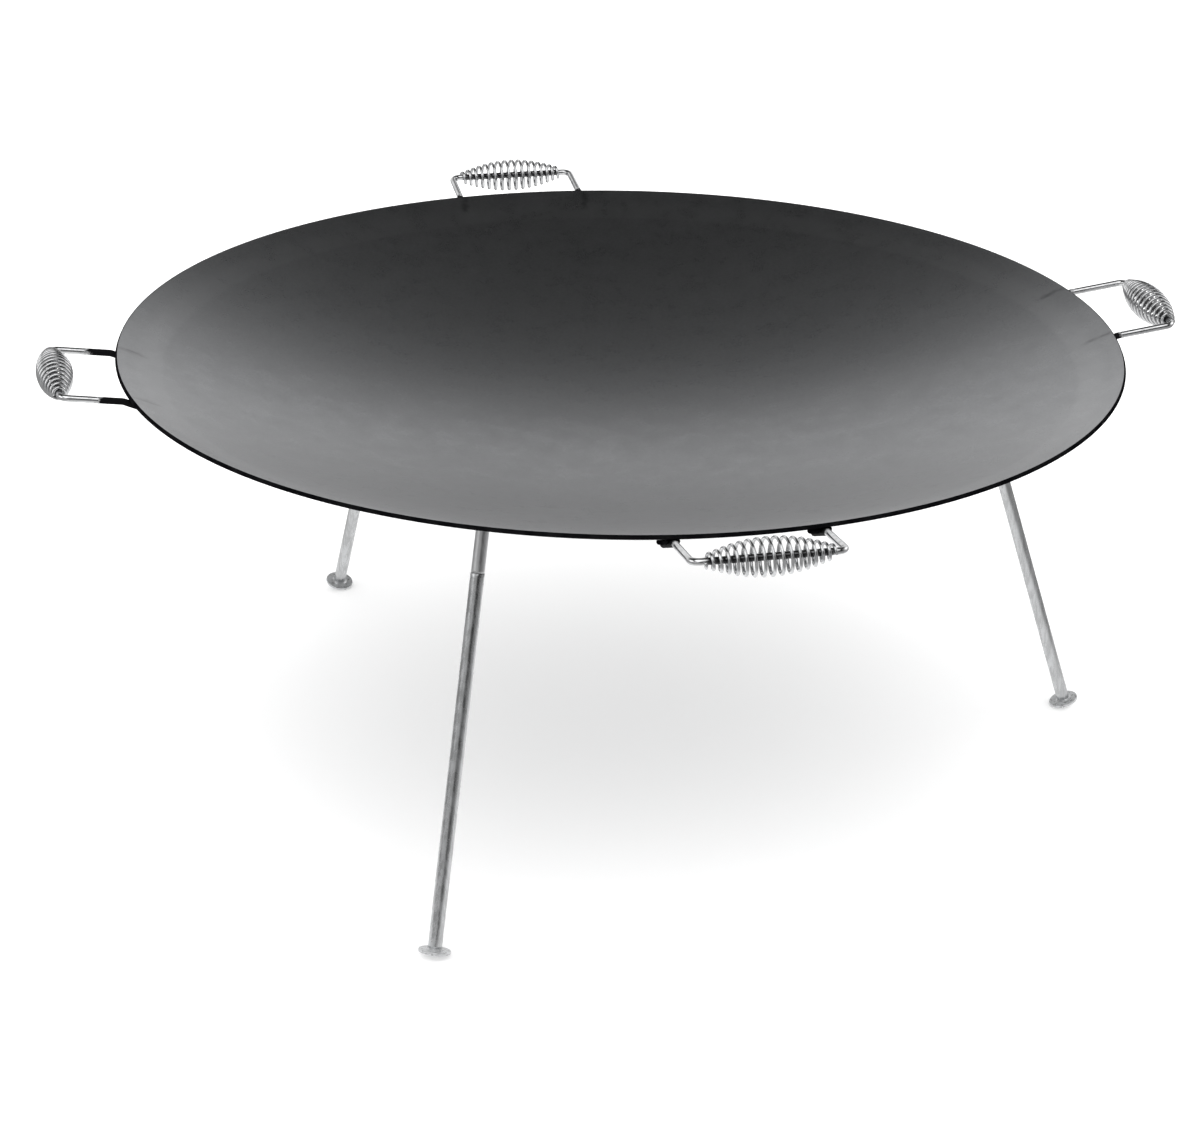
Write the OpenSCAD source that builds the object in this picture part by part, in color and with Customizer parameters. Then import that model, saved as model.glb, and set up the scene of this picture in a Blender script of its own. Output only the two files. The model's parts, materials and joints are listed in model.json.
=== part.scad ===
// Round dished fire griddle on three detachable legs, with four sprung-coil carrying handles.
// Millimetres, +Z up. The origin is on the ground under the dish's centre.
// The right handle points along +X, the back one along +Y.

/* [Dish] */
// Diameter of the dish's mouth, across the rim's inner edge
mouth_d = 980; // [800:10:1200]
// Depth of the dish, from the rim down to its inside bottom
dish_depth = 107; // [85:1:135]
// Thickness of the dish's plate
plate_t = 4; // [3:0.5:6]
// Height of the rim's inner edge above the ground
rim_h = 434; // [350:1:560]

/* [Legs] */
// Distance from the dish's axis at which a leg's centre line meets the plate
leg_circle_r = 362; // [290:1:440]
// Angle from the right handle back to the first leg, clockwise seen from above
leg_turn = 2.7; // [0:0.1:12]
// Outside diameter of a leg tube
tube_d = 13; // [10.5:0.5:18]
// Wall of a leg tube
tube_wall = 1.5; // [1:0.1:2]
// Step from the tube's outside in to the stub that it butts against
stub_step = 0.3; // [0:0.1:0.8]
// Length of a stub between the plate and the leg tube
stub_len = 45; // [30:1:70]
// Length of the spigot that the leg tube pushes over
spigot_len = 55; // [35:1:80]
// Gap between the spigot and the tube's bore, on the radius
spigot_clear = 0.1; // [0.05:0.05:0.3]
// Chamfer on the spigot's end and in the tube's mouth
lead_in = 0.6; // [0.3:0.1:0.8]

/* [Feet] */
// Diameter of a foot disc
foot_d = 30; // [24:1:45]
// Thickness of a foot disc
foot_t = 3; // [2:0.5:5]
// Chamfer round both edges of a foot disc
foot_chamfer = 0.5; // [0.2:0.1:0.9]

/* [Handles] */
// Diameter of the round bar that a handle is bent from
bar_d = 6.5; // [6:0.5:10]
// Distance between a handle's two arms, centre to centre
arm_gap = 134; // [110:1:170]
// Distance from the rim's inner edge out to the grip's centre line
grip_reach = 60; // [50:1:90]
// Height of a grip's centre line above the rim's inner edge
grip_lift = 2; // [-6:0.5:12]
// Length of each arm that lies against the underside of the plate
arm_seat_len = 36; // [30:1:70]
// Length of arm between the plate's edge and the bend beside it
arm_clear_len = 5; // [3:0.5:8]
// Centre-line radius of the two bends beside the grip
corner_r = 8; // [6.5:0.5:12]

/* [Grips] */
// Diameter of the wire that a grip is coiled from
wire_d = 3; // [2:0.1:3.6]
// Number of turns in a grip
grip_turns = 16; // [12:1:19]
// Outside diameter of a grip at its middle
grip_d = 35; // [28:1:46]
// Gap between the bar and a grip's end turns, on the radius
grip_clear = 0.5; // [0.4:0.1:1]
// Gap between a grip's end and the bar's bend
grip_end_gap = 1; // [0.5:0.1:3]
// Part of the mean pitch by which the middle turns open up and the end turns close
pitch_swell = 0.12; // [0:0.01:0.3]

/* [Welds] */
// Gap that the weld fills between an arm and the plate
weld_gap = 0.4; // [0.3:0.1:0.8]
// Width of the weld on each side of an arm, and round a stub
weld_leg = 4; // [2:0.5:6]
// Width of the weld round a leg tube on its foot disc
foot_weld_leg = 2; // [1:0.5:4]

/* [Hidden] */

// Smoothness of the dish's wide curves, and of everything else
dish_fn = 720;
$fn = 48;
// Steps round one turn of a grip's wire, and sides of the wire
coil_steps = 12;
wire_sides = 6;
// Shape of a grip's outline: 1 is a sine arch, more than 1 has slimmer ends
arch_power = 1.1;
// Gap that keeps an arm's two straight lengths apart inside the ball at its rim bend
arm_end_gap = 0.3;
// How far that ball reaches past their ends
ball_spare = 0.05;
// How far a cutting shape runs past what it cuts
eps = 1;

// Dish: a piece of a sphere's shell, cut square to the plate at the rim
mouth_r = mouth_d / 2;
dish_r = (mouth_r * mouth_r + dish_depth * dish_depth) / (2 * dish_depth);
dish_out_r = dish_r + plate_t;
rim_angle = asin(mouth_r / dish_r);
rim_out_r = dish_out_r * sin(rim_angle);
centre_z = rim_h - dish_depth + dish_r;

// Legs: each stands square to the plate, so its centre line runs through the sphere's centre.
// Distances down a leg are measured from the plate's outside
leg_count = 3;
leg_splay = asin(leg_circle_r / dish_out_r);
stub_d = tube_d - 2 * stub_step;
bore_d = tube_d - 2 * tube_wall;
spigot_d = bore_d - 2 * spigot_clear;
sole_s = (centre_z - foot_d / 2 * sin(leg_splay)) / cos(leg_splay) - dish_out_r;
ankle_s = sole_s - foot_t;

// Handles: the arms lie tangent to the plate's underside, then bend at the rim
arm_y = arm_gap / 2;
bar_r = bar_d / 2;
arm_axis_r = dish_out_r + weld_gap + bar_r;
arm_side_tilt = asin(arm_y / arm_axis_r);
arm_track_r = sqrt(arm_axis_r * arm_axis_r - arm_y * arm_y);
edge_x = sqrt(rim_out_r * rim_out_r - arm_y * arm_y);
seat_angle = asin((edge_x - arm_seat_len / 2 * cos(rim_angle)) / arm_track_r);
seat_x = arm_track_r * sin(seat_angle);
seat_z = centre_z - arm_track_r * cos(seat_angle);
bend_run = arm_seat_len / 2 + arm_clear_len;
bend_x = seat_x + bend_run * cos(seat_angle);
bend_z = seat_z + bend_run * sin(seat_angle);
grip_x = mouth_r + grip_reach;
grip_z = rim_h + grip_lift;
arm_rise = atan2(grip_z - bend_z, grip_x - bend_x);
arm_run = norm([grip_x - bend_x, grip_z - bend_z]);
// Both straight lengths of an arm stop just short of the rim bend, where a ball buries their ends
bend_back = bar_r * tan(abs(seat_angle - arm_rise) / 2) + arm_end_gap;
bend_ball_r = norm([bar_r, bend_back]) + ball_spare;

// Grips: a coil round the bar between its two corner bends
grip_len = arm_gap - 2 * corner_r - 2 * grip_end_gap;
coil_len = grip_len - wire_d;
coil_end_r = bar_r + grip_clear + wire_d / 2;
coil_mid_r = grip_d / 2 - wire_d / 2;

steel = "#6f7175";
chromed = "#d9dce0";
zinc = "#b4b8bc";
scale_black = "#26262a";

// Places its children on handle i: 0 right, 1 back, 2 left, 3 front
module at_handle(i) {
    rotate([0, 0, 90 * i]) children();
}

// Places its children on leg i, with -Z running down the leg from the plate's outside
module at_leg(i) {
    translate([0, 0, centre_z])
        rotate([0, -leg_splay, i * 360 / leg_count - leg_turn])
            translate([0, 0, -dish_out_r]) children();
}

// A straight tube or rod down a leg, from distance a to distance b
module down_leg(a, b, d) {
    translate([0, 0, -b]) cylinder(h = b - a, d = d);
}

// The pressed dish
module pan() {
    reach = dish_out_r + plate_t;
    color(steel)
        translate([0, 0, centre_z])
            rotate_extrude($fn = 180)
                intersection() {
                    difference() {
                        circle(r = dish_out_r, $fn = dish_fn);
                        circle(r = dish_r, $fn = dish_fn);
                    }
                    polygon([
                        [0, 0],
                        [0, -reach],
                        [reach * tan(rim_angle), -reach],
                    ]);
                }
}

// The straight end of an arm against the plate, with the ball of its rim bend; side is 1 or -1
module arm_seat(side) {
    translate([seat_x, side * arm_y, seat_z])
        rotate([0, 90 - seat_angle, 0])
            translate([0, 0, -arm_seat_len / 2])
                cylinder(h = arm_seat_len / 2 + bend_run - bend_back, d = bar_d);
    translate([bend_x, side * arm_y, bend_z])
        rotate([90, 90, 0]) sphere(r = bend_ball_r);
}

// The outer U of a handle: two arms, two corner bends and the bar through the grip
module handle_loop() {
    arm_len = arm_run - corner_r - bend_back;
    straight = arm_y - corner_r;
    translate([grip_x, 0, grip_z])
        rotate([0, -arm_rise, 0]) {
            rotate([90, 0, 0]) cylinder(h = 2 * straight, d = bar_d, center = true);
            for (side = [0, 1]) mirror([0, side, 0]) {
                translate([-corner_r, straight, 0])
                    rotate_extrude(angle = 90)
                        translate([corner_r, 0])
                            circle(d = bar_d);
                translate([-corner_r - arm_len, arm_y, 0])
                    rotate([0, 90, 0]) cylinder(h = arm_len, d = bar_d);
            }
        }
}

// One handle, bent from a single round bar
module handle_bar(i) {
    color(chromed) at_handle(i) {
        handle_loop();
        arm_seat(-1);
        arm_seat(1);
    }
}

// The weld along both sides of one arm
module arm_weld(side) {
    top = bar_r + weld_gap;
    low = -0.4 * bar_r;
    foot_w = bar_r + weld_leg;
    lip_w = bar_r + weld_gap;
    translate([seat_x, side * arm_y, seat_z])
        rotate([side * arm_side_tilt, -seat_angle, 0])
            difference() {
                rotate([90, 0, 90])
                    linear_extrude(height = arm_seat_len, center = true)
                        polygon([[-foot_w, top], [-lip_w, low], [lip_w, low], [foot_w, top]]);
                rotate([0, 90, 0]) cylinder(h = arm_seat_len + 2 * eps, d = bar_d, center = true);
            }
}

module handle_welds(i) {
    color(scale_black) at_handle(i) {
        arm_weld(1);
        arm_weld(-1);
    }
}

// Centre of a grip's wire at share u of its length: distance along the bar, and radius
function coil_along(u) = coil_len * (u - 0.5 - pitch_swell * sin(360 * u) / (2 * PI));
function coil_radius(u) = coil_end_r + (coil_mid_r - coil_end_r) * pow(sin(180 * u), arch_power);

// A point of the wire's skin: a is the turn angle, b the angle round the wire
function coil_point(u, a, b) =
    let (r = coil_radius(u) + wire_d / 2 * cos(b))
    [r * cos(a), r * sin(a), coil_along(u) + wire_d / 2 * sin(b)];

// The coiled grip, along Z
module coil() {
    rings = grip_turns * coil_steps;
    points = [
        for (k = [0:rings], s = [0:wire_sides - 1])
            coil_point(k / rings, k * 360 / coil_steps, s * 360 / wire_sides)
    ];
    skin = [
        for (k = [0:rings - 1], s = [0:wire_sides - 1])
            let (a = k * wire_sides + s, b = k * wire_sides + (s + 1) % wire_sides)
            each [[a, b, b + wire_sides], [a, b + wire_sides, a + wire_sides]]
    ];
    first_cap = [for (s = [1:wire_sides]) wire_sides - s];
    last_cap = [for (s = [0:wire_sides - 1]) rings * wire_sides + s];
    polyhedron(points = points, faces = concat(skin, [first_cap, last_cap]));
}

module grip(i) {
    color(chromed)
        at_handle(i)
            translate([grip_x, 0, grip_z])
                rotate([-90, 0, 0]) coil();
}

// The stub on the plate, with the spigot that carries the leg
module stub(i) {
    end_s = stub_len + spigot_len;
    color(zinc) at_leg(i) {
        down_leg(0, stub_len, stub_d);
        down_leg(stub_len, end_s - lead_in, spigot_d);
        translate([0, 0, -end_s])
            cylinder(h = lead_in, d1 = spigot_d - 2 * lead_in, d2 = spigot_d);
    }
}

// A ring of weld, flat against what it stands on and sloping in to the rod through it
module weld_ring(rod_d, leg) {
    rotate_extrude()
        polygon([[rod_d / 2, 0], [rod_d / 2 + leg, 0], [rod_d / 2, leg]]);
}

module stub_weld(i) {
    color(scale_black) at_leg(i)
        mirror([0, 0, 1]) weld_ring(stub_d, weld_leg);
}

// A leg tube, open at the top and closed by its foot disc
module leg_tube(i) {
    color(zinc) at_leg(i)
        difference() {
            down_leg(stub_len, ankle_s, tube_d);
            down_leg(stub_len - eps, ankle_s + eps, bore_d);
            translate([0, 0, -stub_len - lead_in])
                cylinder(h = lead_in + eps, d1 = bore_d, d2 = bore_d + 2 * (lead_in + eps));
        }
}

module foot_weld(i) {
    color(zinc) at_leg(i)
        translate([0, 0, -ankle_s]) weld_ring(tube_d, foot_weld_leg);
}

// The round plate under a leg, square to the tube, so that its inner edge meets the ground
module foot_disc(i) {
    r = foot_d / 2;
    c = foot_chamfer;
    color(zinc) at_leg(i)
        translate([0, 0, -sole_s])
            rotate_extrude()
                polygon([[0, 0], [r - c, 0], [r, c], [r, foot_t - c], [r - c, foot_t], [0, foot_t]]);
}

pan();

handle_bar(0);  // handle_bar_right
handle_bar(1);  // handle_bar_back
handle_bar(2);  // handle_bar_left
handle_bar(3);  // handle_bar_front

handle_welds(0);  // handle_welds_right
handle_welds(1);  // handle_welds_back
handle_welds(2);  // handle_welds_left
handle_welds(3);  // handle_welds_front

grip(0);  // grip_right
grip(1);  // grip_back
grip(2);  // grip_left
grip(3);  // grip_front

stub(0);  // stub_right
stub(1);  // stub_back
stub(2);  // stub_front

stub_weld(0);  // stub_weld_right
stub_weld(1);  // stub_weld_back
stub_weld(2);  // stub_weld_front

leg_tube(0);  // leg_tube_right
leg_tube(1);  // leg_tube_back
leg_tube(2);  // leg_tube_front

foot_weld(0);  // foot_weld_right
foot_weld(1);  // foot_weld_back
foot_weld(2);  // foot_weld_front

foot_disc(0);  // foot_disc_right
foot_disc(1);  // foot_disc_back
foot_disc(2);  // foot_disc_front
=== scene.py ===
import json
import math

import bpy
from mathutils import Matrix, Vector, noise


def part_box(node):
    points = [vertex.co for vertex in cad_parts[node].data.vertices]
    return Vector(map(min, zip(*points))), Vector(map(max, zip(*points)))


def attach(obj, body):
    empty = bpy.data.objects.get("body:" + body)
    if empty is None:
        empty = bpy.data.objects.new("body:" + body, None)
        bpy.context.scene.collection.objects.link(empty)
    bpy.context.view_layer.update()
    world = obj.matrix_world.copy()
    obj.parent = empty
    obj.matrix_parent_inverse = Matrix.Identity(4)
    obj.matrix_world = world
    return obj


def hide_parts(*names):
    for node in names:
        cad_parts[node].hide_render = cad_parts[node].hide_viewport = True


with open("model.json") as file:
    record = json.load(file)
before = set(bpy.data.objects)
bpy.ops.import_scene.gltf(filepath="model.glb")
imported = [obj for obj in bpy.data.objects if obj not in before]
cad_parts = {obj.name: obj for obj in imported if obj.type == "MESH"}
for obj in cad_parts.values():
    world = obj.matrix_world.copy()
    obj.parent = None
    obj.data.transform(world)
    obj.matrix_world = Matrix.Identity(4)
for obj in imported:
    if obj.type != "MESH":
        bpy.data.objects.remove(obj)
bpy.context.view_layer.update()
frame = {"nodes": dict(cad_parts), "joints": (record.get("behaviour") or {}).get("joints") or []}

# Looks of the fire griddle. Metres throughout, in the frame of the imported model.

HANDLES = ("right", "back", "left", "front")
LEGS = ("right", "back", "front")
JOINTS = {j["name"]: j for j in frame["joints"]}

# Stock sizes of the real thing
PLATE_T = 0.004
BAR_R = 0.00325
WIRE_R = 0.0015
TURNS = 16
TUBE_WALL = 0.0015
SPIGOT_CLEAR = 0.0001
LEAD_IN = 0.0006
WELD_GAP = 0.0004


# ---------------------------------------------------------------- mesh helpers

def new_object(name, points, faces, materials, face_slots=None, smooth=True):
    """A mesh object in the scene, with its faces' material slots."""
    mesh = bpy.data.meshes.new(name)
    mesh.from_pydata([tuple(p) for p in points], [], faces)
    for m in materials:
        mesh.materials.append(m)
    if face_slots is not None:
        mesh.polygons.foreach_set("material_index", face_slots)
    mesh.polygons.foreach_set("use_smooth", [smooth] * len(mesh.polygons))
    mesh.update()
    made = bpy.data.objects.new(name, mesh)
    bpy.context.scene.collection.objects.link(made)
    return made


def lathe(name, profile, steps, materials, place=Matrix.Identity(4), slots=None, move=None):
    """Turns a closed or axis-to-axis profile of (radius, height) points about Z."""
    points = []
    rings = []
    for r, z in profile:
        if r < 1e-9:
            rings.append([len(points)] * steps)
            points.append(Vector((0, 0, z)))
            continue
        rings.append(list(range(len(points), len(points) + steps)))
        for k in range(steps):
            a = 2 * math.pi * k / steps
            points.append(Vector((r * math.cos(a), r * math.sin(a), z)))
    closed = profile[0][0] > 1e-9
    pairs = list(zip(rings, rings[1:] + rings[:1] if closed else rings[1:]))
    faces = []
    face_slots = []
    for i, (low, high) in enumerate(pairs):
        for k in range(steps):
            n = (k + 1) % steps
            corners = [low[k], low[n], high[n], high[k]]
            face = [c for j, c in enumerate(corners) if c != corners[j - 1]]
            if len(face) > 2:
                faces.append(face)
                face_slots.append(slots[i] if slots else 0)
    if move:
        points = [move(p) for p in points]
    return new_object(name, [place @ p for p in points], faces, materials, face_slots)


def sweep(name, path, radius, sides, materials, round_ends=True):
    """A round tube along a path of points; radius is a number or a function of the share along it."""
    def size(share):
        return radius(share) if callable(radius) else radius

    tangents = []
    for i, p in enumerate(path):
        before = path[max(i - 1, 0)]
        after = path[min(i + 1, len(path) - 1)]
        tangents.append((after - before).normalized())
    side = tangents[0].orthogonal().normalized()
    points = []
    rings = []
    for i, (p, t) in enumerate(zip(path, tangents)):
        side = (side - t * side.dot(t)).normalized()
        up = t.cross(side)
        r = size(i / (len(path) - 1))
        stops = [(0, 1)]
        if round_ends and i == 0:
            stops = [(-math.cos(b), math.sin(b)) for b in (math.radians(20), math.radians(50))] + stops
        if round_ends and i == len(path) - 1:
            stops = stops + [(math.cos(b), math.sin(b)) for b in (math.radians(50), math.radians(20))]
        for along, scale in stops:
            rings.append(list(range(len(points), len(points) + sides)))
            for k in range(sides):
                a = 2 * math.pi * k / sides
                out = side * math.cos(a) + up * math.sin(a)
                points.append(p + t * (along * r) + out * (r * scale))
    faces = [list(reversed(rings[0])), list(rings[-1])]
    for low, high in zip(rings, rings[1:]):
        for k in range(sides):
            n = (k + 1) % sides
            faces.append([low[k], low[n], high[n], high[k]])
    return new_object(name, points, faces, materials)


def arc(centre, start, axis, angle, steps):
    """Points on a circle about centre, from start, turning by angle about axis."""
    turn = [Matrix.Rotation(angle * k / steps, 3, axis) for k in range(steps + 1)]
    return [centre + t @ (start - centre) for t in turn]


# ---------------------------------------------------------------- materials

def material(name):
    """A new node material with its Principled shader."""
    made = bpy.data.materials.new(name)
    made.use_nodes = True
    return made, made.node_tree, made.node_tree.nodes["Principled BSDF"]


def node(tree, kind, inputs=(), **settings):
    made = tree.nodes.new(kind)
    for key, value in settings.items():
        setattr(made, key, value)
    for key, value in dict(inputs).items():
        if isinstance(value, bpy.types.NodeSocket):
            tree.links.new(value, made.inputs[key])
        else:
            made.inputs[key].default_value = value
    return made


def position(tree):
    return node(tree, "ShaderNodeTexCoord").outputs["Object"]


def noise_at(tree, where, scale, detail=3.0, rough=0.55, distortion=0.0):
    return node(tree, "ShaderNodeTexNoise", {
        "Vector": where, "Scale": scale, "Detail": detail, "Roughness": rough, "Distortion": distortion,
    }).outputs["Fac"]


def remap(tree, value, low, high, to_low=0.0, to_high=1.0, smooth=True):
    return node(tree, "ShaderNodeMapRange", {
        0: value, 1: low, 2: high, 3: to_low, 4: to_high,
    }, interpolation_type="SMOOTHSTEP" if smooth else "LINEAR").outputs[0]


def calc(tree, operation, a, b=0.0):
    return node(tree, "ShaderNodeMath", {0: a, 1: b}, operation=operation).outputs[0]


def mix(tree, share, a, b):
    made = node(tree, "ShaderNodeMix", {0: share}, data_type="RGBA")
    for index, value in ((6, a), (7, b)):
        if isinstance(value, bpy.types.NodeSocket):
            tree.links.new(value, made.inputs[index])
        else:
            made.inputs[index].default_value = (*value, 1.0)
    return made.outputs[2]


def bump(tree, height, distance, strength=1.0, normal=None):
    inputs = {"Height": height, "Distance": distance, "Strength": strength}
    if normal is not None:
        inputs["Normal"] = normal
    return node(tree, "ShaderNodeBump", inputs).outputs["Normal"]


def length_of(tree, vector):
    return node(tree, "ShaderNodeVectorMath", {0: vector}, operation="LENGTH").outputs["Value"]


def dot(tree, vector, way):
    made = node(tree, "ShaderNodeVectorMath", {0: vector, 1: way}, operation="DOT_PRODUCT")
    return made.outputs["Value"]


def swing(tree, noise_value, reach):
    """Noise turned into an offset to both sides of zero."""
    return calc(tree, "MULTIPLY", calc(tree, "SUBTRACT", noise_value, 0.5), reach)


def folded(tree, where):
    """The larger and the smaller of |x| and |y|, so that one mark repeats at all four handles."""
    split = node(tree, "ShaderNodeSeparateXYZ", {0: where}).outputs
    x = calc(tree, "ABSOLUTE", split[0])
    y = calc(tree, "ABSOLUTE", split[1])
    return calc(tree, "MAXIMUM", x, y), calc(tree, "MINIMUM", x, y)


def link(tree, out, shader, name):
    tree.links.new(out, shader.inputs[name])


# The dish's inside: its sheen, and a faint lighter ring just inside the rim between two radii, a painted
# reflection
PAN_SHEEN = 0.25
PAN_SHEEN_ROUGH = 0.3
RIM_REFLECTION_FROM = 0.444
RIM_REFLECTION_TO = 0.474


def pan_steel(arm_y, mark_from, mark_to):
    """Dark rolled steel: even grain, a painted reflection as a faint lighter ring by the rim, and a heat
    mark over each welded arm.
    """
    made, tree, shader = material("pan_steel")
    where = position(tree)
    blotch = noise_at(tree, where, 7.0, 4.0, 0.6, 0.4)
    cloud = noise_at(tree, where, 38.0, 4.0, 0.65)
    mottle = noise_at(tree, where, 300.0, 3.0, 0.7)
    grain = noise_at(tree, where, 620.0, 4.0, 0.75)
    speck = noise_at(tree, where, 1900.0, 2.0, 0.6)
    tone = mix(tree, remap(tree, blotch, 0.3, 0.7), (0.250, 0.255, 0.266), (0.268, 0.273, 0.283))
    tone = mix(tree, remap(tree, cloud, 0.35, 0.7, 0.0, 0.18), tone, (0.235, 0.239, 0.248))
    tone = mix(tree, remap(tree, mottle, 0.3, 0.7, 0.0, 0.42), tone, (0.335, 0.34, 0.35))
    tone = mix(tree, remap(tree, grain, 0.3, 0.7, 0.0, 0.36), tone, (0.33, 0.335, 0.345))
    flat = node(tree, "ShaderNodeVectorMath", {0: where, 1: (1.0, 1.0, 0.0)}, operation="MULTIPLY")
    radius = length_of(tree, flat.outputs[0])
    # Painted reflection: the colour is lighter in a ring just inside the rim
    rim_reflection = calc(tree, "MULTIPLY", remap(tree, radius, RIM_REFLECTION_FROM, RIM_REFLECTION_FROM + 0.006),
               remap(tree, radius, RIM_REFLECTION_TO - 0.012, RIM_REFLECTION_TO + 0.004, 1.0, 0.0))
    tone = mix(tree, calc(tree, "MULTIPLY", rim_reflection, 0.5), tone, (0.34, 0.345, 0.355))
    far, near = folded(tree, where)
    wander = swing(tree, noise_at(tree, where, 55.0, 2.0), 0.016)
    across = calc(tree, "ABSOLUTE", calc(tree, "SUBTRACT", calc(tree, "ADD", near, wander), arm_y))
    band = remap(tree, across, 0.0, 0.0065, 1.0, 0.0)
    broken = remap(tree, noise_at(tree, where, 42.0, 3.0), 0.30, 0.55)
    along = calc(tree, "MULTIPLY", remap(tree, far, mark_from, mark_from + 0.016),
                 remap(tree, far, mark_to - 0.008, mark_to + 0.004, 1.0, 0.0))
    heat = calc(tree, "MULTIPLY", calc(tree, "MULTIPLY", band, along), broken)
    tone = mix(tree, calc(tree, "MULTIPLY", heat, 0.55), tone, (0.075, 0.073, 0.078))
    link(tree, tone, shader, "Base Color")
    shader.inputs["Metallic"].default_value = 1.0
    shader.inputs["Sheen Weight"].default_value = PAN_SHEEN
    shader.inputs["Sheen Roughness"].default_value = PAN_SHEEN_ROUGH
    broad = remap(tree, cloud, 0.3, 0.7, 0.29, 0.33)
    fine = remap(tree, speck, 0.3, 0.7, -0.03, 0.03)
    link(tree, calc(tree, "ADD", broad, fine), shader, "Roughness")
    skin = bump(tree, grain, 0.00006)
    link(tree, bump(tree, cloud, 0.00008, 1.0, skin), shader, "Normal")
    return made


def pan_under():
    """The dish's outside: the same plate with a darker, rougher mill scale."""
    made, tree, shader = material("pan_under")
    where = position(tree)
    cloud = noise_at(tree, where, 24.0, 5.0, 0.65, 0.5)
    grain = noise_at(tree, where, 500.0, 4.0, 0.7)
    tone = mix(tree, remap(tree, cloud, 0.3, 0.7), (0.085, 0.087, 0.092), (0.15, 0.153, 0.16))
    tone = mix(tree, remap(tree, grain, 0.3, 0.7, 0.0, 0.4), tone, (0.2, 0.203, 0.21))
    link(tree, tone, shader, "Base Color")
    shader.inputs["Metallic"].default_value = 1.0
    link(tree, remap(tree, cloud, 0.3, 0.7, 0.42, 0.58), shader, "Roughness")
    link(tree, bump(tree, grain, 0.00008), shader, "Normal")
    return made


def black_scale(name="black_scale"):
    """Burnt black scale on the cut rim and the welds."""
    made, tree, shader = material(name)
    where = position(tree)
    grit = noise_at(tree, where, 900.0, 4.0, 0.7)
    patch = noise_at(tree, where, 60.0, 3.0)
    tone = mix(tree, remap(tree, patch, 0.35, 0.7), (0.002, 0.002, 0.0025), (0.006, 0.006, 0.0065))
    tone = mix(tree, remap(tree, grit, 0.55, 0.75, 0.0, 0.4), tone, (0.014, 0.014, 0.015))
    link(tree, tone, shader, "Base Color")
    link(tree, remap(tree, patch, 0.3, 0.7, 0.5, 0.7), shader, "Roughness")
    shader.inputs["Specular IOR Level"].default_value = 0.0
    link(tree, bump(tree, grit, 0.0002), shader, "Normal")
    return made


# Half the length of the bar inside a coil, along which the bar's colour is darkened as painted shade from
# the coil
CORE_HALF = 0.053


def chrome(name, scale_reach=None):
    """Bright plated wire, or a bar burnt black out to scale_reach and darkened with painted shade inside
    its coil.
    """
    made, tree, shader = material(name)
    where = position(tree)
    haze = noise_at(tree, where, 140.0, 3.0)
    draw = noise_at(tree, where, 1500.0, 2.0, 0.6)
    tone = mix(tree, remap(tree, haze, 0.35, 0.7), (0.80, 0.805, 0.815), (0.66, 0.665, 0.675))
    rough = remap(tree, haze, 0.3, 0.7, 0.10, 0.22)
    if scale_reach:
        far, near = folded(tree, where)
        # Painted shade: the bar's colour is darkened along the part inside the coil, where the coil shades
        # it
        coil_shade = calc(tree, "MULTIPLY", remap(tree, near, CORE_HALF, CORE_HALF + 0.004, 1.0, 0.0),
                     remap(tree, haze, 0.3, 0.6, 0.8, 0.95))
        tone = mix(tree, coil_shade, tone, (0.05, 0.05, 0.052))
        ragged = calc(tree, "ADD", far, swing(tree, noise_at(tree, where, 160.0, 4.0), 0.022))
        burnt = remap(tree, ragged, scale_reach - 0.003, scale_reach + 0.004, 1.0, 0.0)
        tone = mix(tree, burnt, tone, (0.004, 0.004, 0.0045))
        rough = calc(tree, "ADD", rough, calc(tree, "MULTIPLY", burnt, 0.42))
        metal = calc(tree, "SUBTRACT", 1.0, burnt)
        link(tree, metal, shader, "Metallic")
        shader.inputs["Specular IOR Level"].default_value = 0.03
    else:
        shader.inputs["Metallic"].default_value = 1.0
    link(tree, tone, shader, "Base Color")
    link(tree, rough, shader, "Roughness")
    link(tree, bump(tree, draw, 0.00002), shader, "Normal")
    return made


def zinc(name, light, dark, rough_low, rough_high, stretch=0.12, metallic=1.0):
    """Zinc plate with dull and bright streaks along the piece."""
    made, tree, shader = material(name)
    stretched = {"Vector": position(tree), "Scale": (1.0, 1.0, stretch)}
    where = node(tree, "ShaderNodeMapping", stretched).outputs[0]
    streak = noise_at(tree, where, 260.0, 3.0, 0.6)
    patch = noise_at(tree, position(tree), 75.0, 3.0, 0.6)
    tone = mix(tree, remap(tree, streak, 0.35, 0.65), dark, light)
    tone = mix(tree, remap(tree, patch, 0.5, 0.75, 0.0, 0.2), tone, tuple(c * 0.7 for c in dark))
    link(tree, tone, shader, "Base Color")
    shader.inputs["Metallic"].default_value = metallic
    link(tree, remap(tree, streak, 0.3, 0.7, rough_low, rough_high), shader, "Roughness")
    link(tree, bump(tree, patch, 0.00008), shader, "Normal")
    return made


# ---------------------------------------------------------------- the dish

pan_lo, pan_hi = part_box("pan")
RIM_OUT = (pan_hi.x - pan_lo.x) / 2
RIM_Z = pan_hi.z
DEPTH = RIM_Z - pan_lo.z - PLATE_T


def dish_sphere():
    """Radius of the dish's inside and its mouth, from the outer edge, the depth and the plate."""
    mouth = RIM_OUT
    for _ in range(40):
        r = (mouth * mouth + DEPTH * DEPTH) / (2 * DEPTH)
        mouth = RIM_OUT - PLATE_T * mouth / r
    return r, mouth


DISH_R, MOUTH_R = dish_sphere()
OUT_R = DISH_R + PLATE_T
CENTRE = Vector((0, 0, RIM_Z - DEPTH + DISH_R))
RIM_ANGLE = math.asin(MOUTH_R / DISH_R)
EDGE_ROUND = 0.0007


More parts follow.
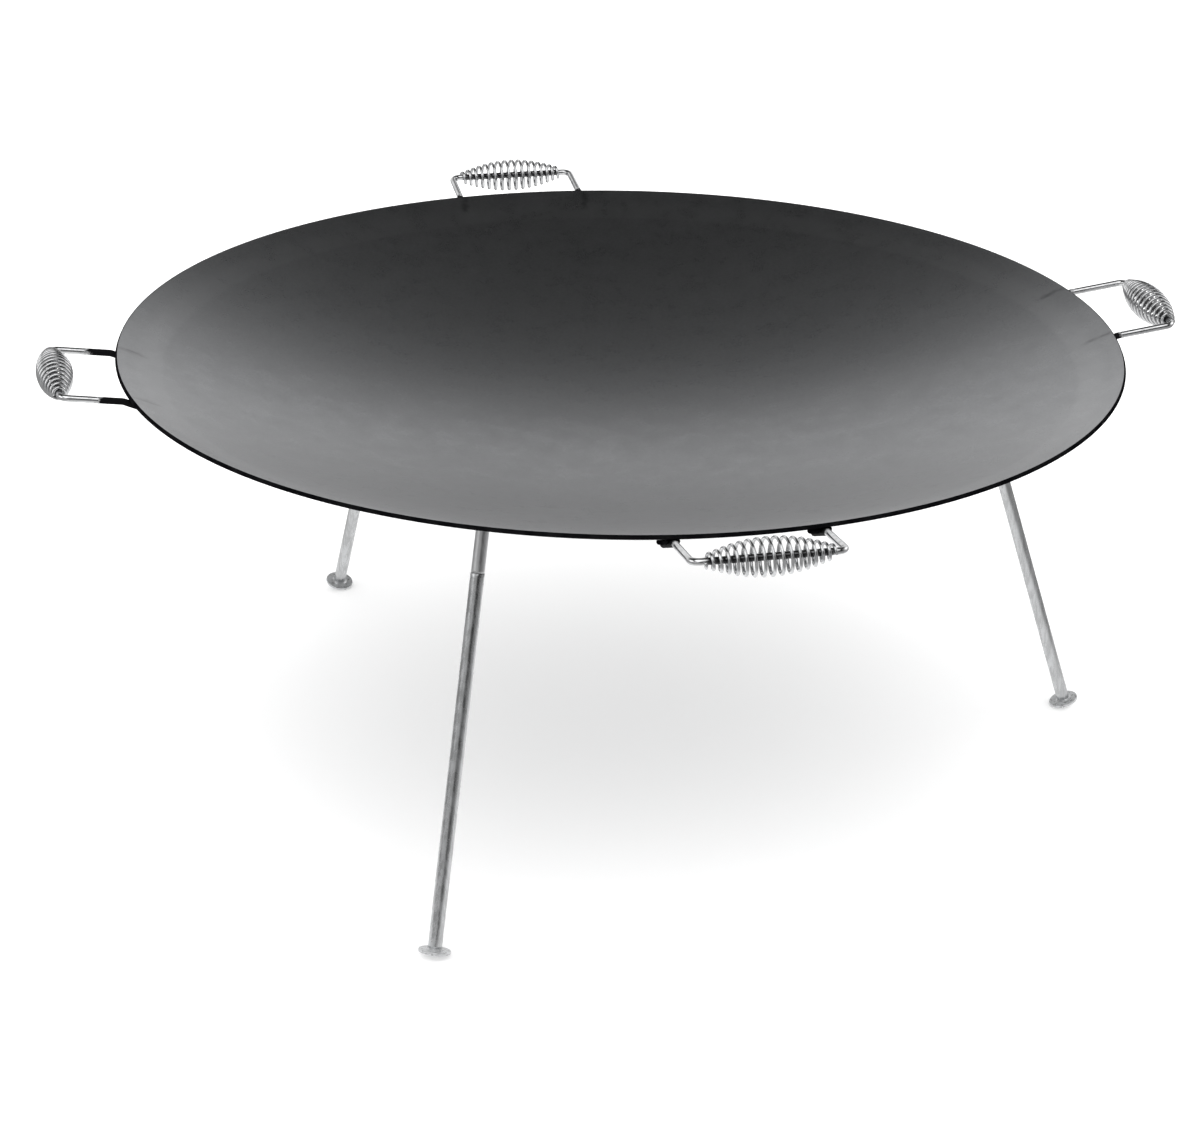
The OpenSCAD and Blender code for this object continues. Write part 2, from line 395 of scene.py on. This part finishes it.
def dish_wave(p):
    """Broad unevenness of pressed plate, a fraction of a millimetre, the same inside and outside."""
    broad = noise.noise(Vector((p.x * 5.0, p.y * 5.0, 3.1)))
    fine = noise.noise(Vector((p.x * 14.0, p.y * 14.0, 7.7)))
    fade = min(1.0, (MOUTH_R - min(math.hypot(p.x, p.y), MOUTH_R)) / 0.12)
    return p + Vector((0, 0, (0.00035 * broad + 0.00010 * fine) * fade))


def make_pan(steel, under, edge):
    inner_steps = 120
    outer_steps = 60
    profile = []
    slots = []

    def add(radius, angle, slot):
        profile.append((radius * math.sin(angle), CENTRE.z - radius * math.cos(angle)))
        slots.append(slot)

    for k in range(inner_steps + 1):
        add(DISH_R, (RIM_ANGLE - EDGE_ROUND / DISH_R) * k / inner_steps, 0 if k < inner_steps else 2)
    for k in range(1, 6):
        b = math.pi / 2 * k / 6
        add(DISH_R + EDGE_ROUND * (1 - math.cos(b)), RIM_ANGLE - EDGE_ROUND / DISH_R * (1 - math.sin(b)), 2)
    add(DISH_R + EDGE_ROUND, RIM_ANGLE, 2)
    add(OUT_R - EDGE_ROUND, RIM_ANGLE, 2)
    for k in range(1, 6):
        b = math.pi / 2 * (1 - k / 6)
        add(OUT_R - EDGE_ROUND * (1 - math.cos(b)), RIM_ANGLE - EDGE_ROUND / OUT_R * (1 - math.sin(b)), 2)
    for k in range(outer_steps, -1, -1):
        add(OUT_R, (RIM_ANGLE - EDGE_ROUND / OUT_R) * k / outer_steps, 1)
    pan = lathe("pan_dish", profile, 384, [steel, under, edge], slots=slots, move=dish_wave)
    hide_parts("pan")
    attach(pan, "pan")
    return pan


# ---------------------------------------------------------------- handles

bar_lo, bar_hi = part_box("handle_bar_right")
GRIP = Vector(JOINTS["grip_spin_right"]["pos_m"])
ARM_Y = bar_hi.y - BAR_R
CORNER_R = 0.008
BEND_R = 0.012
SEAT_TO_BEND = 0.005
AXIS_R = OUT_R + WELD_GAP + BAR_R
TRACK_R = math.sqrt(AXIS_R ** 2 - ARM_Y ** 2)
SEAT_LEN = 0.036
EDGE_X = math.sqrt(RIM_OUT ** 2 - ARM_Y ** 2)
SEAT_ANGLE = math.asin((EDGE_X - SEAT_LEN / 2 * math.cos(RIM_ANGLE)) / TRACK_R)
SEAT_DIR = Vector((math.cos(SEAT_ANGLE), 0, math.sin(SEAT_ANGLE)))
SEAT = Vector((TRACK_R * math.sin(SEAT_ANGLE), 0, CENTRE.z - TRACK_R * math.cos(SEAT_ANGLE)))
BEND = SEAT + SEAT_DIR * (SEAT_LEN / 2 + SEAT_TO_BEND)


def turned(points, index):
    """The right handle's points, turned to handle number index."""
    turn = Matrix.Rotation(math.pi / 2 * index, 3, "Z")
    return [turn @ p for p in points]


def handle_path():
    """Centre line of the right handle, from one arm's inner end round to the other's."""
    out = (Vector((GRIP.x, 0, GRIP.z)) - BEND)
    rise = out.normalized()
    turn = SEAT_DIR.angle(rise)
    take = BEND_R * math.tan(turn / 2)
    side = Vector((0, ARM_Y, 0))
    down = Vector((SEAT_DIR.z, 0, -SEAT_DIR.x))
    start = SEAT - SEAT_DIR * (SEAT_LEN / 2) + side
    bend_from = BEND - SEAT_DIR * take + side
    bend = arc(bend_from + down * BEND_R, bend_from, Vector((0, 1, 0)), turn, 8)
    corner_start = Vector((GRIP.x, 0, GRIP.z)) - rise * CORNER_R + side
    up = rise.cross(Vector((0, 1, 0)))
    corner = arc(corner_start - Vector((0, CORNER_R, 0)), corner_start, -up, math.pi / 2, 14)
    half = []
    for a, b, n in ((start, bend[0], 14), (bend[-1], corner[0], 14)):
        half.append([a.lerp(b, k / n) for k in range(n)])
    line = half[0] + bend[:-1] + half[1] + corner
    bar = [corner[-1].lerp(Vector((corner[-1].x, 0, corner[-1].z)), k / 16) for k in range(1, 17)]
    line = line + bar
    other = [Vector((p.x, -p.y, p.z)) for p in reversed(line[:-1])]
    return line + other


# How far out from the dish's axis the weld's heat has blackened each handle's arms
SCALE_REACH = {"right": 0.494, "back": 0.499, "left": 0.515, "front": 0.496}


def make_handles():
    path = handle_path()
    for index, name in enumerate(HANDLES):
        metal = chrome("bar_" + name, SCALE_REACH[name])
        bar = sweep("handle_" + name, turned(path, index), BAR_R, 24, [metal])
        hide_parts("handle_bar_" + name)
        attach(bar, "pan")


# A weld bead along each side of an arm's seat: radius, place beside and above the bar's axis
BEAD_R = 0.0026
BEAD_ASIDE = 0.0050
BEAD_UP = 0.0022
BEAD_SHORTER = 0.002
BEAD_STATIONS = 34


def weld_mesh(name, lines, materials):
    """Beads along lines of (point, direction, radius) stations, with the ripples of a hand weld."""
    points = []
    faces = []
    sides = 10
    for line in lines:
        first = len(points)
        count = len(line)
        for i, (p, t, r) in enumerate(line):
            side = t.orthogonal().normalized()
            up = t.cross(side)
            ripple = 1 + 0.10 * math.sin(i * 1.9) + 0.10 * noise.noise(p * 300)
            end = math.sin(math.pi * min(1, (i + 0.35) / count * 6, (count - i - 0.65) / count * 6) / 2)
            for k in range(sides):
                a = 2 * math.pi * k / sides
                points.append(p + (side * math.cos(a) + up * math.sin(a)) * (r * ripple * end))
        for i in range(count - 1):
            for k in range(sides):
                n = (k + 1) % sides
                a = first + i * sides
                faces.append([a + k, a + n, a + sides + n, a + sides + k])
        faces.append([first + k for k in reversed(range(sides))])
        last = first + (count - 1) * sides
        faces.append([last + k for k in range(sides)])
    return new_object(name, points, faces, materials)


def make_handle_welds(scale):
    for index, name in enumerate(HANDLES):
        lines = []
        for side in (-1, 1):
            seat = SEAT + Vector((0, side * ARM_Y, 0))
            normal = (CENTRE - seat).normalized()
            across = normal.cross(SEAT_DIR).normalized()
            for way in (-1, 1):
                middle = seat + across * (way * BEAD_ASIDE) + normal * BEAD_UP
                line = []
                for k in range(BEAD_STATIONS):
                    s = (k / (BEAD_STATIONS - 1) - 0.5) * (SEAT_LEN - BEAD_SHORTER)
                    line.append(middle + SEAT_DIR * s)
                direction = turned([SEAT_DIR], index)[0]
                lines.append([(p, direction, BEAD_R) for p in turned(line, index)])
        weld = weld_mesh("handle_weld_" + name, lines, [scale])
        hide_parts("handle_welds_" + name)
        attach(weld, "pan")


# ---------------------------------------------------------------- grips

GRIP_CLEAR = 0.0005
PITCH_SWELL = 0.12
COIL_SHAPE = 1.1
STEPS_PER_TURN = 36


def coil_path():
    """Centre line of the right grip's wire."""
    lo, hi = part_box("grip_right")
    length = hi.y - lo.y - 2 * WIRE_R
    mid_r = (hi.z - lo.z) / 2 - WIRE_R
    end_r = BAR_R + GRIP_CLEAR + WIRE_R
    count = TURNS * STEPS_PER_TURN
    line = []
    for k in range(count + 1):
        u = k / count
        a = 2 * math.pi * k / STEPS_PER_TURN
        y = length * (u - 0.5 - PITCH_SWELL * math.sin(2 * math.pi * u) / (2 * math.pi))
        r = end_r + (mid_r - end_r) * max(math.sin(math.pi * u), 0.0) ** COIL_SHAPE
        line.append(GRIP + Vector((r * math.cos(a), y, -r * math.sin(a))))
    return line


def make_grips():
    path = coil_path()
    wire = chrome("grip_wire")
    for index, name in enumerate(HANDLES):
        grip = sweep("coil_" + name, turned(path, index), WIRE_R, 12, [wire])
        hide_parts("grip_" + name)
        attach(grip, "grip_" + name)


# ---------------------------------------------------------------- legs

def leg_frame(name):
    """Placing matrix of a leg: origin at the dish sphere's centre, -Z down the leg."""
    down = Vector(JOINTS["leg_slide_" + name]["axis"]).normalized()
    z = -down
    x = Vector((0, 0, 1)).cross(z).normalized()
    y = z.cross(x)
    turn = Matrix((x, y, z)).transposed().to_4x4()
    return Matrix.Translation(CENTRE) @ turn


def along_leg(node_name, name):
    """Distances down the leg at which a node begins and ends."""
    inverse = leg_frame(name).inverted()
    heights = [(inverse @ v.co).z for v in frame["nodes"][node_name].data.vertices]
    return -max(heights), -min(heights)


def leg_radius(node_name, name):
    inverse = leg_frame(name).inverted()
    return max((inverse @ v.co).xy.length for v in frame["nodes"][node_name].data.vertices)


def make_stub(name, metal):
    top, end = along_leg("stub_" + name, name)
    shoulder, _ = along_leg("leg_tube_" + name, name)
    tube_r = leg_radius("leg_tube_" + name, name)
    r = leg_radius("stub_" + name, name)
    spigot_r = tube_r - TUBE_WALL - SPIGOT_CLEAR
    c = 0.0004
    profile = [(0, -top), (r, -top), (r, -(top + 0.002)), (r, -(shoulder - 0.002)), (r, -(shoulder - c)),
               (r - c, -shoulder), (spigot_r + c, -shoulder), (spigot_r, -(shoulder + c)),
               (spigot_r, -(end - 2 * LEAD_IN)), (spigot_r, -(end - LEAD_IN)),
               (spigot_r - LEAD_IN, -end), (0, -end)]
    stub = lathe("leg_stub_" + name, profile, 40, [metal], leg_frame(name))
    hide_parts("stub_" + name)
    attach(stub, "pan")


def make_tube(name, metal):
    top, bottom = along_leg("leg_tube_" + name, name)
    r = leg_radius("leg_tube_" + name, name)
    bore = r - TUBE_WALL
    c = 0.0005
    profile = [(bore + LEAD_IN, -top), (r - c, -top), (r - c * 0.3, -(top + c * 0.3)), (r, -(top + c)),
               (r, -(top + 0.004)), (r, -(bottom - 0.004)), (r, -bottom), (bore, -bottom),
               (bore, -(bottom - 0.004)), (bore, -(top + 0.004)), (bore, -(top + LEAD_IN))]
    tube = lathe("leg_" + name, profile, 40, [metal], leg_frame(name))
    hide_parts("leg_tube_" + name)
    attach(tube, "leg_" + name)


def make_foot(name, metal):
    top, bottom = along_leg("foot_disc_" + name, name)
    r = leg_radius("foot_disc_" + name, name)
    c = 0.0008
    edge = []
    for k in range(7):
        b = math.pi / 2 * k / 6
        edge.append((r - c * (1 - math.sin(b)), -(top + c * (1 - math.cos(b)))))
    low = [(x, -(bottom - (-y - top))) for x, y in reversed(edge)]
    profile = [(0, -top), (r * 0.5, -top)] + edge + low + [(r * 0.5, -bottom), (0, -bottom)]
    foot = lathe("foot_" + name, profile, 64, [metal], leg_frame(name))
    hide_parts("foot_disc_" + name)
    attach(foot, "leg_" + name)


# The beads reach a little into the rod that they hold
WELD_SINK = 0.0002
STUB_WELD_LEG = 0.0038
FOOT_WELD_LEG = 0.0019


def ring_weld(piece, node_name, name, rod_r, at, way, size, metal, body):
    """A rippled bead round a rod, on the face at a distance down the leg."""
    place = leg_frame(name)
    steps = 72
    profile_steps = 6
    points = []
    faces = []
    for k in range(steps):
        a = 2 * math.pi * k / steps
        round_at = Vector((math.cos(a) * 2, math.sin(a) * 2, at * 9))
        ripple = 1 + 0.12 * math.sin(k * math.pi / 3) + 0.10 * noise.noise(round_at)
        s = size * min(ripple, 1.0)
        for j in range(profile_steps + 1):
            b = math.pi / 2 * j / profile_steps
            out = rod_r - WELD_SINK + (s + WELD_SINK) * (1 - math.sin(b) * 0.98)
            down = at + way * (s * (1 - math.cos(b)) * 0.9)
            bulge = 0.18 * size * math.sin(2 * b)
            reach = out + bulge
            points.append(place @ Vector((reach * math.cos(a), reach * math.sin(a), -(down + way * bulge))))
        root = rod_r - WELD_SINK
        points.append(place @ Vector((root * math.cos(a), root * math.sin(a), -at)))
    ring = profile_steps + 2
    for k in range(steps):
        n = (k + 1) % steps
        for j in range(ring):
            m = (j + 1) % ring
            faces.append([k * ring + j, n * ring + j, n * ring + m, k * ring + m])
    weld = new_object(piece, points, faces, [metal])
    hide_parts(node_name)
    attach(weld, body)


def make_legs(scale):
    stub_metal = zinc("stub_zinc", (0.72, 0.725, 0.73), (0.60, 0.605, 0.61), 0.30, 0.42)
    tube_metal = zinc("leg_zinc", (0.66, 0.67, 0.68), (0.50, 0.505, 0.51), 0.20, 0.32)
    foot_metal = zinc("foot_zinc", (0.66, 0.67, 0.68), (0.50, 0.505, 0.51), 0.25, 0.40, 1.0, 0.6)
    for name in LEGS:
        make_stub(name, stub_metal)
        make_tube(name, tube_metal)
        make_foot(name, foot_metal)
        stub_top, _ = along_leg("stub_" + name, name)
        disc_top, _ = along_leg("foot_disc_" + name, name)
        ring_weld("stub_bead_" + name, "stub_weld_" + name, name, leg_radius("stub_" + name, name),
                  stub_top, 1, STUB_WELD_LEG, scale, "pan")
        ring_weld("foot_bead_" + name, "foot_weld_" + name, name, leg_radius("leg_tube_" + name, name),
                  disc_top, -1, FOOT_WELD_LEG, foot_metal, "leg_" + name)


# ---------------------------------------------------------------- studio

CAMERA_AT = Vector((-0.7072, -2.9730, 1.5298))
CAMERA_YAW = math.radians(-13.063)
CAMERA_PITCH = math.radians(-23.766)
CAMERA_ROLL = math.radians(0.811)
CAMERA_LENS = 99.03
SIDE_POWER = 25
SIDE_AIM = (0, 0, 0.3)
SIDE_SIZE = (3.0, 2.6)
FLOOR_GLOW = 0.27
FLOOR_HALF = 30.0
DOME_POWER = 3.6
DOME_SPREAD = 125

# How bright the floor is in the metal, near the object and away from it
FLOOR_NEAR_R = 0.55
FLOOR_FAR_R = 0.95
FLOOR_NEAR = 0.95
FLOOR_FAR = 0.35


def make_camera():
    camera = bpy.data.objects.new("camera", bpy.data.cameras.new("camera"))
    bpy.context.scene.collection.objects.link(camera)
    camera.data.sensor_width = 36.0
    camera.data.lens = CAMERA_LENS
    camera.matrix_world = (
        Matrix.Translation(CAMERA_AT)
        @ Matrix.Rotation(CAMERA_YAW, 4, "Z")
        @ Matrix.Rotation(math.radians(90) + CAMERA_PITCH, 4, "X")
        @ Matrix.Rotation(CAMERA_ROLL, 4, "Z")
    )
    bpy.context.scene.camera = camera


def make_floor():
    """A pale floor; what the metal mirrors of it is dimmer away from the object."""
    far = FLOOR_HALF
    floor = new_object("floor", [(-far, -far, 0), (far, -far, 0), (far, far, 0), (-far, far, 0)],
                       [[0, 1, 2, 3]], [], smooth=False)
    made, tree, shader = material("floor_white")
    paper = noise_at(tree, position(tree), 40.0, 3.0)
    link(tree, mix(tree, paper, (0.80, 0.80, 0.80), (0.815, 0.815, 0.815)), shader, "Base Color")
    shader.inputs["Roughness"].default_value = 0.9
    shader.inputs["Specular IOR Level"].default_value = 0.1
    shader.inputs["Emission Color"].default_value = (1, 1, 1, 1)
    shader.inputs["Emission Strength"].default_value = FLOOR_GLOW
    radius = length_of(tree, position(tree))
    mirrored = node(tree, "ShaderNodeEmission", {
        "Strength": remap(tree, radius, FLOOR_NEAR_R, FLOOR_FAR_R, FLOOR_NEAR, FLOOR_FAR),
    }).outputs[0]
    output = tree.nodes["Material Output"]
    in_metal = node(tree, "ShaderNodeLightPath").outputs["Is Glossy Ray"]
    both = node(tree, "ShaderNodeMixShader", {0: in_metal})
    tree.links.new(shader.outputs[0], both.inputs[1])
    tree.links.new(mirrored, both.inputs[2])
    tree.links.new(both.outputs[0], output.inputs["Surface"])
    floor.data.materials.append(made)


# What the metal mirrors, by elevation in degrees: a bright low backdrop and a dark ceiling
SKY = ((-90, 0.86), (14, 0.86), (21, 0.79), (24.5, 0.63), (27.5, 0.31), (31, 0.16), (36, 0.12),
       (43, 0.105), (51, 0.08), (58, 0.045), (66, 0.04), (90, 0.04))
SKY_DIP_AT = math.radians(19)
SKY_DIP_WIDTH = math.radians(26)
SKY_DIP_DEPTH = math.radians(6)
SKY_SIDE = 0.55
SKY_BEHIND = 0.55

# A soft box above and behind the camera, which the bars and wires mirror
BOX_ELEVATION = math.radians(58)
BOX_INNER = math.cos(math.radians(24))
BOX_OUTER = math.cos(math.radians(36))
BOX_GLOW = 1.3

# The dark of the room at the camera's side, which draws the dark line down the tubes and wires
DARK_TURN = math.radians(38)
DARK_ELEVATION = math.radians(10)
DARK_INNER = math.cos(math.radians(20))
DARK_OUTER = math.cos(math.radians(48))
DARK_LEFT = 0.06


def sky_way(azimuth, elevation):
    """The direction at an azimuth, from +Y towards +X, and an elevation."""
    flat = math.cos(elevation)
    return (math.sin(azimuth) * flat, math.cos(azimuth) * flat, math.sin(elevation))


def make_world():
    """White to the eye, and for the metal the sky above, dimmer at the sides and behind the camera."""
    world = bpy.data.worlds.new("studio")
    bpy.context.scene.world = world
    world.use_nodes = True
    tree = world.node_tree
    tree.nodes.clear()
    where = node(tree, "ShaderNodeTexCoord").outputs["Generated"]
    split = node(tree, "ShaderNodeSeparateXYZ", {0: where}).outputs
    azimuth = calc(tree, "ARCTAN2", split[0], split[1])
    aside = calc(tree, "ABSOLUTE", calc(tree, "SUBTRACT", azimuth, SKY_DIP_AT))
    lift = remap(tree, aside, 0.0, SKY_DIP_WIDTH, 0.0, SKY_DIP_DEPTH)
    elevation = calc(tree, "SUBTRACT", calc(tree, "ARCSINE", split[2]), lift)
    share = remap(tree, elevation, -math.pi / 2, math.pi / 2, smooth=False)
    ramp = node(tree, "ShaderNodeValToRGB", {0: share})
    stops = ramp.color_ramp.elements
    for i, (angle, level) in enumerate(SKY):
        stop = stops[i] if i < 2 else stops.new(1.0)
        stop.position = (angle + 90) / 180
        stop.color = (level, level, level, 1.0)
    facing = dot(tree, where, sky_way(-CAMERA_YAW, 0.0))
    front = calc(tree, "ADD", remap(tree, facing, -1.0, 0.0, SKY_BEHIND, SKY_SIDE),
                 remap(tree, facing, 0.0, 0.9, 0.0, 1.0 - SKY_SIDE))
    level = calc(tree, "MULTIPLY", ramp.outputs[0], front)
    dark_at = -CAMERA_YAW + math.pi - DARK_TURN
    near_dark = dot(tree, where, sky_way(dark_at, DARK_ELEVATION))
    level = calc(tree, "MULTIPLY", level, remap(tree, near_dark, DARK_OUTER, DARK_INNER, 1.0, DARK_LEFT))
    near_box = dot(tree, where, sky_way(-CAMERA_YAW + math.pi, BOX_ELEVATION))
    level = calc(tree, "ADD", level, remap(tree, near_box, BOX_OUTER, BOX_INNER, 0.0, BOX_GLOW))
    seen = node(tree, "ShaderNodeLightPath").outputs["Is Camera Ray"]
    unseen = calc(tree, "SUBTRACT", 1.0, seen)
    level = calc(tree, "ADD", calc(tree, "MULTIPLY", level, unseen), seen)
    background = node(tree, "ShaderNodeBackground", {"Color": (1, 1, 1, 1), "Strength": level})
    output = node(tree, "ShaderNodeOutputWorld")
    tree.links.new(background.outputs[0], output.inputs["Surface"])


def add_light(name, at, aim, size, power):
    data = bpy.data.lights.new(name, "AREA")
    data.shape = "RECTANGLE"
    data.size, data.size_y = size
    data.energy = power
    light = bpy.data.objects.new(name, data)
    light.location = at
    light.rotation_mode = "QUATERNION"
    light.rotation_quaternion = (Vector(aim) - Vector(at)).to_track_quat("-Z", "Y")
    bpy.context.scene.collection.objects.link(light)


def add_dome(power, spread):
    """Light from all over the ceiling that only dull surfaces take, for the soft shadow under the dish."""
    data = bpy.data.lights.new("dome", "SUN")
    data.angle = math.radians(spread)
    data.energy = power
    light = bpy.data.objects.new("dome", data)
    light.visible_glossy = False
    bpy.context.scene.collection.objects.link(light)


def make_studio():
    make_camera()
    make_floor()
    make_world()
    for name, at in (("left_soft", (-4.2, -0.8, 2.2)), ("right_soft", (4.2, 0.4, 2.2))):
        add_light(name, at, SIDE_AIM, SIDE_SIZE, SIDE_POWER)
    add_dome(DOME_POWER, DOME_SPREAD)
    bpy.context.scene.view_settings.view_transform = "Standard"


make_studio()
scale_metal = black_scale()
make_pan(pan_steel(ARM_Y, EDGE_X - SEAT_LEN, EDGE_X), pan_under(), black_scale("cut_edge"))
make_handles()
make_handle_welds(scale_metal)
make_grips()
make_legs(scale_metal)
